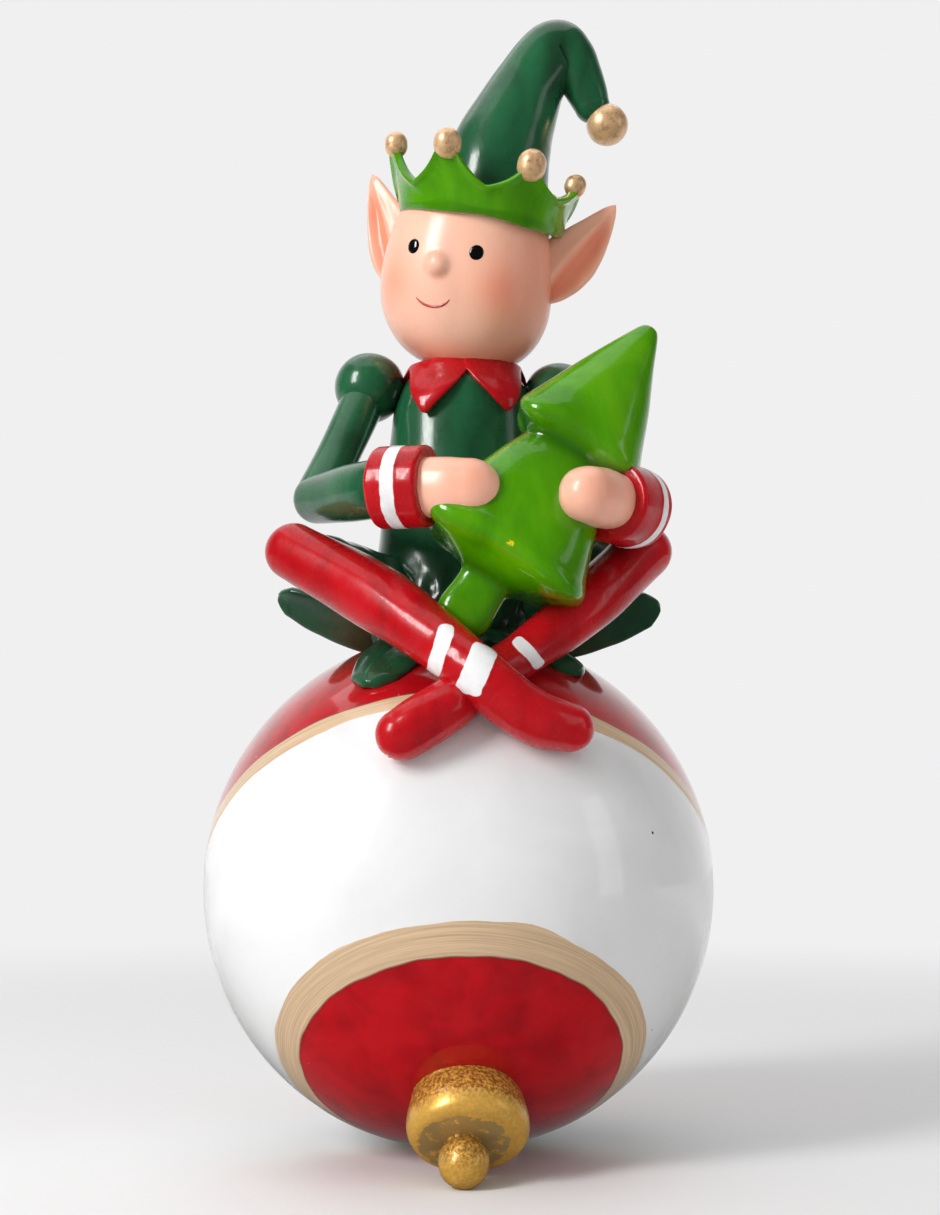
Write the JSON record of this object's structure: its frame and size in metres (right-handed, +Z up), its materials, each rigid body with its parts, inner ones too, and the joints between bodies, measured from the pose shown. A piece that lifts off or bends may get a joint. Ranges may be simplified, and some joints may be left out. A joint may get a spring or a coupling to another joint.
{
  "type": "elf figurine",
  "caption": "One-piece painted figurine: an elf in a crowned hat holds a small tree and sits cross-legged on a large round bauble that rests on its side.",
  "frame": {"origin": "middle of the small ground flat under the bauble", "axes": "+Z up through the bauble to the hat; the figure looks towards -Y; +X is on the viewer's right, the figure's left"},
  "size_m": [0.1039, 0.1038, 0.2357],
  "materials": {
    "painted_resin": "glossy hand-painted lacquer over cast resin"
  },
  "bodies": {
    "root": {"elf_figurine": "painted_resin"}
  },
  "joints": []
}
